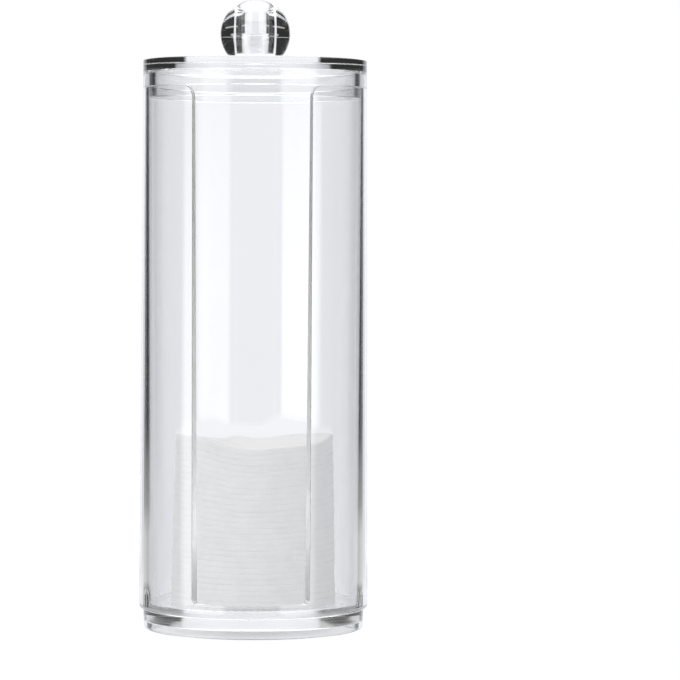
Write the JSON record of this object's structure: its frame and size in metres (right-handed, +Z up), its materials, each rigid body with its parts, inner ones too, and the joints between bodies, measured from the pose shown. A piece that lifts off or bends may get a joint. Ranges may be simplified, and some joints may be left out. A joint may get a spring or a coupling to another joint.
{
  "type": "cotton pad dispenser box",
  "caption": "Clear round storage box for cotton pads: slotted drafted tube on a base, lift-off lid with a ball knob, and a stack of cotton rounds inside.",
  "frame": {"origin": "middle of the base's foot, on the surface that the box stands on", "axes": "+Z up along the tube's axis; the front slot faces -Y; +X is to the right seen from the front"},
  "size_m": [0.079, 0.079, 0.2169],
  "materials": {
    "clear_acrylic": "polished clear moulding",
    "cotton_wool": "pressed cotton wool, matt"
  },
  "bodies": {
    "box": {"base": "clear_acrylic", "tube": "clear_acrylic", "cotton_pad_01": "cotton_wool", "cotton_pad_02": "cotton_wool", "cotton_pad_03": "cotton_wool", "cotton_pad_04": "cotton_wool", "cotton_pad_05": "cotton_wool", "cotton_pad_06": "cotton_wool", "cotton_pad_07": "cotton_wool", "cotton_pad_08": "cotton_wool", "cotton_pad_09": "cotton_wool", "cotton_pad_10": "cotton_wool", "cotton_pad_11": "cotton_wool", "cotton_pad_12": "cotton_wool", "cotton_pad_13": "cotton_wool", "cotton_pad_14": "cotton_wool", "cotton_pad_15": "cotton_wool", "cotton_pad_16": "cotton_wool", "cotton_pad_17": "cotton_wool", "cotton_pad_18": "cotton_wool", "cotton_pad_19": "cotton_wool", "cotton_pad_20": "cotton_wool", "cotton_pad_21": "cotton_wool", "cotton_pad_22": "cotton_wool", "cotton_pad_23": "cotton_wool", "cotton_pad_24": "cotton_wool", "cotton_pad_25": "cotton_wool", "cotton_pad_26": "cotton_wool", "cotton_pad_27": "cotton_wool", "cotton_pad_28": "cotton_wool"},
    "lid": {"lid": "clear_acrylic", "knob": "clear_acrylic", "knob_pin": "clear_acrylic"}
  },
  "joints": [
    {"name": "lid_lift", "type": "slide", "parent": "box", "child": "lid", "axis": [0, 0, 1], "range_m": [0, 0.06]}
  ]
}
